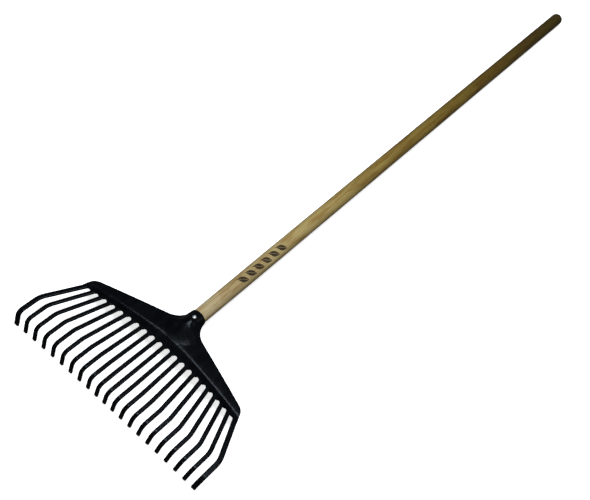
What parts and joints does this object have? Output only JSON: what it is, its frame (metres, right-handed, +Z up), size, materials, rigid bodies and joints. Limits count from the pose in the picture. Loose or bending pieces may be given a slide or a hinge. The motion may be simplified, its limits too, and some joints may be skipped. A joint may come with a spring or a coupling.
{
  "type": "leaf rake",
  "caption": "Fan rake with a wooden handle in a one-piece moulded plastic head; hooked tines fan out from a ridged plate.",
  "frame": {"origin": "on the floor, under the middle of the rake's box, with the rake lying on its tine tips and the underside of its grip end", "axes": "+Y along the rake towards the grip end, +Z up, so the tines hook down; +X to the right of someone who looks from the head to the grip"},
  "size_m": [0.3964, 1.5738, 0.0446],
  "materials": {
    "handle_wood": "pale ash, turned and clear lacquered",
    "head_plastic": "black polypropylene, fine moulded texture with a soft sheen",
    "screw_steel": "zinc plated steel"
  },
  "bodies": {
    "root": {"handle": "handle_wood", "rake_head": "head_plastic", "handle_screw": "screw_steel"}
  },
  "joints": []
}
